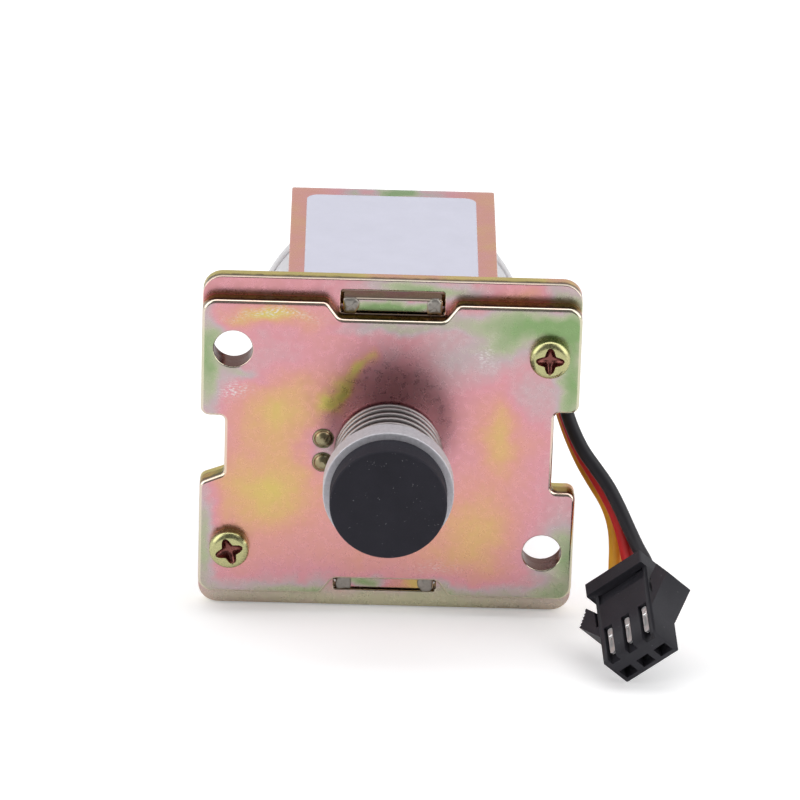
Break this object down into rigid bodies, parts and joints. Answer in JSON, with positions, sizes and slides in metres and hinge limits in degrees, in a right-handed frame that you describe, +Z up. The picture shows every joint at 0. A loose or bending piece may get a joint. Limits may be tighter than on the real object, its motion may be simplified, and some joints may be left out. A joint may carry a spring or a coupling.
{
  "type": "gas solenoid valve",
  "caption": "Latching gas solenoid valve: coil in a bent steel yoke on a notched mounting plate, with a sprung plunger that carries a rubber seal, and a plug on short leads.",
  "frame": {"origin": "where the solenoid's axis crosses the front face of the mounting plate, midway between the two mounting holes", "axes": "+X to the right seen from the seal, +Y along the solenoid's axis from the seal to the coil, +Z up"},
  "size_m": [0.0573, 0.0593, 0.0415],
  "materials": {
    "plated_plate": "zinc plated and passivated, with a faint pink, green and yellow sheen",
    "plated_yoke": "zinc plated and passivated sheet",
    "plated_screw": "yellow-green zinc plate",
    "label_film": "bare satin sticker",
    "bobbin_plastic": "moulded, off-white",
    "pull_in_wire": "enamelled copper wire",
    "holding_wire": "enamelled copper wire",
    "insulation_film": "thin yellow film",
    "wrap_tape": "pale adhesive tape",
    "tinned_pin": "tinned",
    "tube_metal": "drawn, non-magnetic",
    "core_steel": "turned soft iron, nickel plated",
    "plunger_steel": "ground soft iron, nickel plated",
    "ring_rubber": "nitrile rubber",
    "washer_brass": "plain brass shim",
    "disc_metal": "turned, clear zinc plate",
    "seal_rubber": "matte moulded rubber",
    "spring_steel": "stainless spring wire",
    "lead_black_pvc": "extruded insulation",
    "lead_red_pvc": "extruded insulation",
    "lead_yellow_pvc": "extruded insulation",
    "plug_plastic": "moulded, black",
    "contact_metal": "tinned"
  },
  "bodies": {
    "valve_body": {"front_plate": "plated_plate", "rear_plate": "plated_plate", "plate_screws": "plated_screw", "yoke": "plated_yoke", "label": "label_film", "bobbin": "bobbin_plastic", "pull_in_winding": "pull_in_wire", "winding_insulation": "insulation_film", "holding_winding": "holding_wire", "coil_wrap": "wrap_tape", "coil_terminals": "tinned_pin", "guide_tube": "tube_metal", "plate_o_ring": "ring_rubber", "fixed_core": "core_steel", "core_o_ring": "ring_rubber", "anti_stick_washer": "washer_brass", "return_spring": "spring_steel", "lead_yellow": "lead_yellow_pvc", "lead_red": "lead_red_pvc", "lead_black": "lead_black_pvc", "plug_housing": "plug_plastic", "plug_contacts": "contact_metal"},
    "valve": {"plunger": "plunger_steel", "valve_disc": "disc_metal", "seal_pad": "seal_rubber"}
  },
  "joints": [
    {"name": "plunger_slide", "type": "slide", "parent": "valve_body", "child": "valve", "axis": [0, 1, 0], "range_m": [0, 0.003], "stiffness_N_per_m": 268, "deforming": ["return_spring"]}
  ]
}
